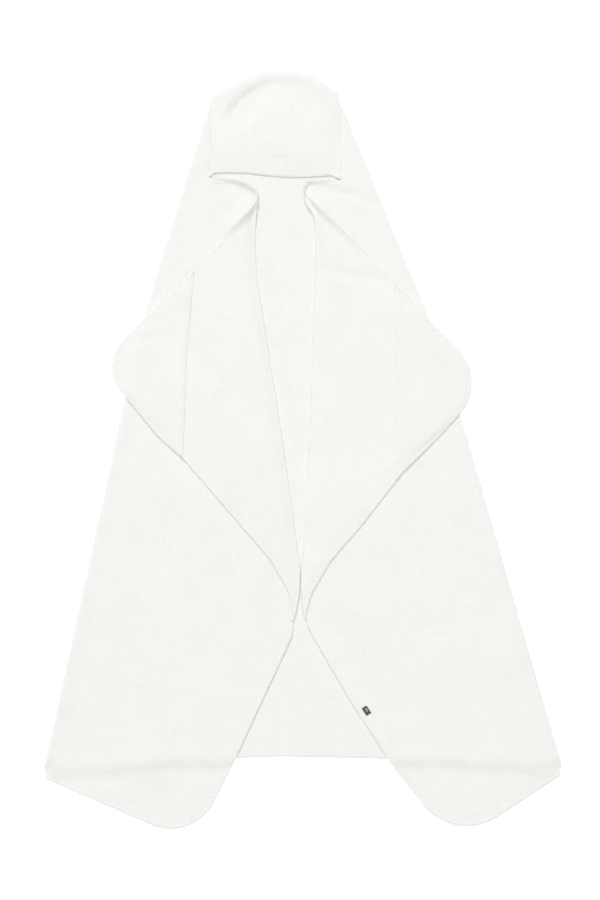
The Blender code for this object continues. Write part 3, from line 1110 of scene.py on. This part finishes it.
class Finish:
    """A procedural material, built node by node round its shader."""

    def __init__(self, name, settings):
        self.material = bpy.data.materials.new(name)
        self.material.use_nodes = True
        self.nodes = self.material.node_tree.nodes
        self.shader = self.nodes["Principled BSDF"]
        self.fill(self.shader, settings)

    def fill(self, node, inputs):
        """Set a node's inputs to values, or link them to other nodes' outputs."""
        for name, value in inputs.items():
            if isinstance(value, bpy.types.NodeSocket):
                self.material.node_tree.links.new(value, node.inputs[name])
            else:
                node.inputs[name].default_value = value

    def node(self, kind, inputs):
        made = self.nodes.new(f"ShaderNode{kind}")
        self.fill(made, inputs)
        return made

    def place(self):
        return self.node("TexCoord", {}).outputs["Object"]

    def noise(self, place, scale, detail, roughness=0.5):
        inputs = {"Vector": place, "Scale": scale, "Detail": detail, "Roughness": roughness}
        return self.node("TexNoise", inputs).outputs["Fac"]

    def math(self, operation, first, second):
        made = self.node("Math", {0: first, 1: second})
        made.operation = operation
        return made.outputs[0]

    def bump(self, height, strength, distance):
        made = self.node("Bump", {"Height": height, "Strength": strength, "Distance": distance})
        self.fill(self.shader, {"Normal": made.outputs["Normal"]})

    def colour(self, tone, stops):
        """The shader's colour at each tone, through these stops of position and colour."""
        made = self.node("ValToRGB", {"Fac": tone})
        elements = made.color_ramp.elements
        while len(elements) < len(stops):
            elements.new(0.5)
        for element, (position, colour) in zip(elements, stops):
            element.position = position
            element.color = (*colour, 1)
        self.fill(self.shader, {"Base Color": made.outputs["Color"]})


# Darker patches of terry are a touch pink and lighter ones a touch green
TERRY_STOPS = (
    (0.3, (0.846, 0.829, 0.769)),
    (0.5, (0.872, 0.860, 0.801)),
    (0.7, (0.897, 0.888, 0.829)),
)
THREAD_STOPS = ((0.0, (0.79, 0.785, 0.755)), (1.0, (0.87, 0.865, 0.84)))
LABEL_STOPS = ((0.0, (0.085, 0.085, 0.080)), (1.0, (0.34, 0.34, 0.32)))


def terry_material():
    """Off-white terry: fine loops, a soft uneven nap and a faint mottle."""
    made = Finish("terry_cloth", {
        "Roughness": 0.95,
        "Specular IOR Level": 0.1,
        "Sheen Weight": 0.12,
        "Sheen Roughness": 0.6,
    })
    place = made.place()
    loops = made.node("TexVoronoi", {"Vector": place, "Scale": 620.0, "Randomness": 0.8})
    nap = made.noise(place, 190.0, 2.0)
    mottle = made.noise(place, 45.0, 3.0)
    patches = made.noise(place, 13.0, 3.0, 0.6)
    hollows = made.math("MULTIPLY", loops.outputs["Distance"], -0.5)
    made.bump(made.math("ADD", hollows, nap), 0.6, 0.0006)
    tone = made.math("MULTIPLY", nap, 0.35)
    for part, share in ((mottle, 0.25), (patches, 0.4)):
        tone = made.math("ADD", tone, made.math("MULTIPLY", part, share))
    made.colour(tone, TERRY_STOPS)
    return made.material


def thread_material():
    """Off-white cotton thread with a fine twist."""
    made = Finish("cotton_thread", {"Roughness": 0.8, "Specular IOR Level": 0.2})
    made.colour(made.noise(made.place(), 2600.0, 1.0), THREAD_STOPS)
    return made.material


def label_material():
    """A dark woven tape with a fine rib and one plain lighter bar."""
    made = Finish("label_tape", {"Roughness": 0.7, "Specular IOR Level": 0.25})
    place = made.place()
    wave = made.node("TexWave", {"Vector": place, "Scale": 520.0, "Distortion": 1.5})
    ribs = wave.outputs["Fac"]
    made.bump(ribs, 0.4, 0.0001)
    apart = made.node("SeparateXYZ", {"Vector": place}).outputs
    along, across, half_length, half_width = LABEL_BAR
    masks = []
    for axis, middle, reach in (("X", along, half_length), ("Y", across, half_width)):
        offset = made.math("SUBTRACT", apart[axis], middle * MM)
        masks.append(made.math("LESS_THAN", made.math("ABSOLUTE", offset, 0.0), reach * MM))
    bar = made.math("MULTIPLY", *masks)
    made.colour(made.math("MULTIPLY", bar, made.math("ADD", ribs, 0.6)), LABEL_STOPS)
    return made.material


# Setting, in metres


# All the light is a little cool, so that the warm cloth looks white and its crevices look warm
COOL = (1.0, 1.012, 1.062)


def make_floor():
    bpy.ops.mesh.primitive_plane_add(size=30.0)
    floor = bpy.context.object
    floor.name = "floor"
    finish = Finish("floor_white", {
        "Base Color": (0.9, 0.889, 0.847, 1),
        "Roughness": 1.0,
        "Specular IOR Level": 0.0,
        "Emission Color": (1, 1, 1, 1),
        "Emission Strength": 0.8,
    })
    floor.data.materials.append(finish.material)
    return floor


def add_area(name, place, size, power):
    """A square light that faces the towel's middle."""
    light = bpy.data.lights.new(name, "AREA")
    light.shape = "SQUARE"
    light.size = size
    light.energy = power
    light.color = COOL
    aim = (-Vector(place)).to_track_quat("-Z", "Y")
    placed(name, light, place).rotation_euler = aim.to_euler()


def make_lights():
    world = bpy.data.worlds.new("studio")
    world.use_nodes = True
    background = world.node_tree.nodes["Background"]
    background.inputs["Color"].default_value = (*COOL, 1)
    background.inputs["Strength"].default_value = 0.452
    bpy.context.scene.world = world
    add_area("softbox", (0.15, 0.5, 6.6), 6.0, 191.5)
    add_area("key", (-3.0, 7.8, 11.2), 7.0, 664.0)
    bpy.context.scene.view_settings.view_transform = "Standard"


def make_camera():
    """Straight above the towel: the picture's height is 900 pixels of 1.5 mm each."""
    camera = bpy.data.cameras.new("camera")
    distance = 6.0
    view_height = 1.35
    middle_x = -0.00345
    camera.sensor_width = 36.0
    camera.lens = camera.sensor_width * distance / view_height
    camera.clip_end = 50.0
    bpy.context.scene.camera = placed("camera", camera, (middle_x, 0.0, distance))


def main():
    terry = terry_material()
    layout = Layout()
    floor = make_floor()
    body, stretches = make_body(layout, terry)
    hood, hood_stretch, hood_edge = make_hood(layout, terry)
    pockets = []
    pocket_edges = {}
    for side in SIGN:
        lapel = stretches[f"lapel_{side}"]
        pocket, pocket_stretch, corner = make_pocket(layout, lapel, side, terry)
        pockets.append(pocket)
        pocket_edges[side] = (pocket_stretch, corner)
    label = make_label(stretches["front_right"], label_material())
    hood_hem = (hood_stretch, hood_edge)
    stitches = make_stitches(layout, stretches, hood_hem, pocket_edges, thread_material())
    for piece, node in (
        (body, "body"),
        (hood, "hood_front"),
        (pockets[0], "hand_pocket_left"),
        (pockets[1], "hand_pocket_right"),
        (label, "side_label"),
    ):
        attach(piece, "root")
        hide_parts(node)
    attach(stitches, "root")
    make_lights()
    make_camera()


main()
